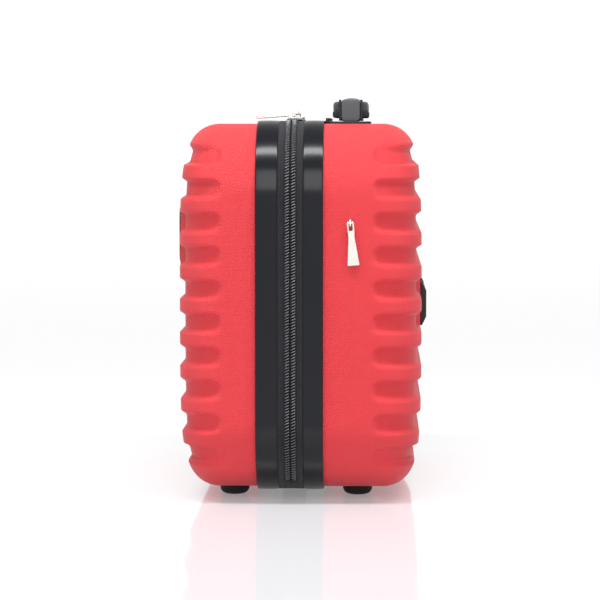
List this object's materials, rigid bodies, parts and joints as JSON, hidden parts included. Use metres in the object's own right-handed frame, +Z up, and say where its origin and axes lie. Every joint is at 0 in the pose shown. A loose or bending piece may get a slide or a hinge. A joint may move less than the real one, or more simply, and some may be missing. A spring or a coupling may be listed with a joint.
{
  "type": "hard shell vanity case",
  "caption": "Upright hard shell vanity case: two ribbed shells joined by a wrap-around zip, black edge trims, lifting top handle, hanging strap tabs, rear strap guide and plain feet.",
  "frame": {"origin": "on the floor under the middle of the box that bounds the case", "axes": "+Z up; the front (lid) half faces -Y, the handle's half +Y; X runs across the case's width"},
  "size_m": [0.381, 0.2162, 0.3499],
  "materials": {
    "shell_red": "coral red ABS, fine embossed texture, satin gloss",
    "trim_black": "black plastic trim, satin gloss",
    "zip_tape": "black woven zip tape",
    "zip_coil": "black nylon coil",
    "stop_metal": "pressed metal stop",
    "binding_black": "black plastic edge binding",
    "lining_fabric": "dark polyester lining",
    "foot_black": "black moulded foot",
    "fastener_steel": "zinc-plated steel",
    "cast_nickel": "satin nickel on cast zinc",
    "fork_black": "black-painted steel",
    "grip_upper_grey": "dark grey moulded grip",
    "handle_black": "black moulded plastic",
    "guide_black": "black moulded plastic",
    "badge_black": "plain black plate"
  },
  "bodies": {
    "rear_case": {"handle_backing_plate": "fastener_steel", "handle_base_plate": "handle_black", "handle_mount_left": "handle_black", "handle_mount_right": "handle_black", "handle_screws": "fastener_steel", "rear_binding": "binding_black", "rear_foot_left": "foot_black", "rear_foot_right": "foot_black", "rear_foot_screws": "fastener_steel", "rear_lining": "lining_fabric", "rear_shell": "shell_red", "rear_trim": "trim_black", "rear_zip_coil": "zip_coil", "rear_zip_stops": "stop_metal", "rear_zip_tape": "zip_tape", "strap_guide": "guide_black", "strap_guide_screws": "fastener_steel", "strap_plate_left": "fastener_steel", "strap_plate_right": "fastener_steel", "strap_staple_left": "cast_nickel", "strap_staple_right": "cast_nickel"},
    "front_case": {"front_badge": "badge_black", "front_binding": "binding_black", "front_foot_left": "foot_black", "front_foot_right": "foot_black", "front_foot_screws": "fastener_steel", "front_lining": "lining_fabric", "front_shell": "shell_red", "front_trim": "trim_black", "front_zip_coil": "zip_coil", "front_zip_stops": "stop_metal", "front_zip_tape": "zip_tape", "lid_pocket": "lining_fabric"},
    "carry_grip": {"handle_fork_left": "fork_black", "handle_fork_right": "fork_black", "handle_grip_lower": "handle_black", "handle_grip_upper": "grip_upper_grey", "handle_pin_left": "fastener_steel", "handle_pin_right": "fastener_steel"},
    "slider_left": {"zip_slider_left": "cast_nickel"},
    "slider_right": {"zip_slider_right": "cast_nickel"},
    "pull_left": {"zip_pull_left": "cast_nickel"},
    "pull_right": {"zip_pull_right": "cast_nickel"},
    "strap_tab_left": {"strap_tab_left": "cast_nickel"},
    "strap_tab_right": {"strap_tab_right": "cast_nickel"}
  },
  "joints": [
    {"name": "lid_hinge", "type": "hinge", "parent": "rear_case", "child": "front_case", "pos_m": [0, -0.01, 0.0073], "axis": [1, 0, 0], "range_deg": [0, 150]},
    {"name": "grip_lift", "type": "slide", "parent": "rear_case", "child": "carry_grip", "axis": [0, 0, 1], "range_m": [0, 0.013]},
    {"name": "zip_slide_left", "type": "slide", "parent": "rear_case", "child": "slider_left", "axis": [-1, 0, 0], "range_m": [0, 0.095]},
    {"name": "pull_flip_left", "type": "hinge", "parent": "slider_left", "child": "pull_left", "pos_m": [-0.015, -0.01, 0.3346], "axis": [-1, 0, 0], "range_deg": [0, 130]},
    {"name": "strap_tab_swing_left", "type": "hinge", "parent": "rear_case", "child": "strap_tab_left", "pos_m": [-0.187, 0.0412, 0.2425], "axis": [0, 1, 0], "range_deg": [0, 160]},
    {"name": "zip_slide_right", "type": "slide", "parent": "rear_case", "child": "slider_right", "axis": [1, 0, 0], "range_m": [0, 0.095]},
    {"name": "pull_flip_right", "type": "hinge", "parent": "slider_right", "child": "pull_right", "pos_m": [0.015, -0.01, 0.3346], "axis": [-1, 0, 0], "range_deg": [0, 130]},
    {"name": "strap_tab_swing_right", "type": "hinge", "parent": "rear_case", "child": "strap_tab_right", "pos_m": [0.187, 0.0412, 0.2425], "axis": [0, -1, 0], "range_deg": [0, 160]}
  ]
}
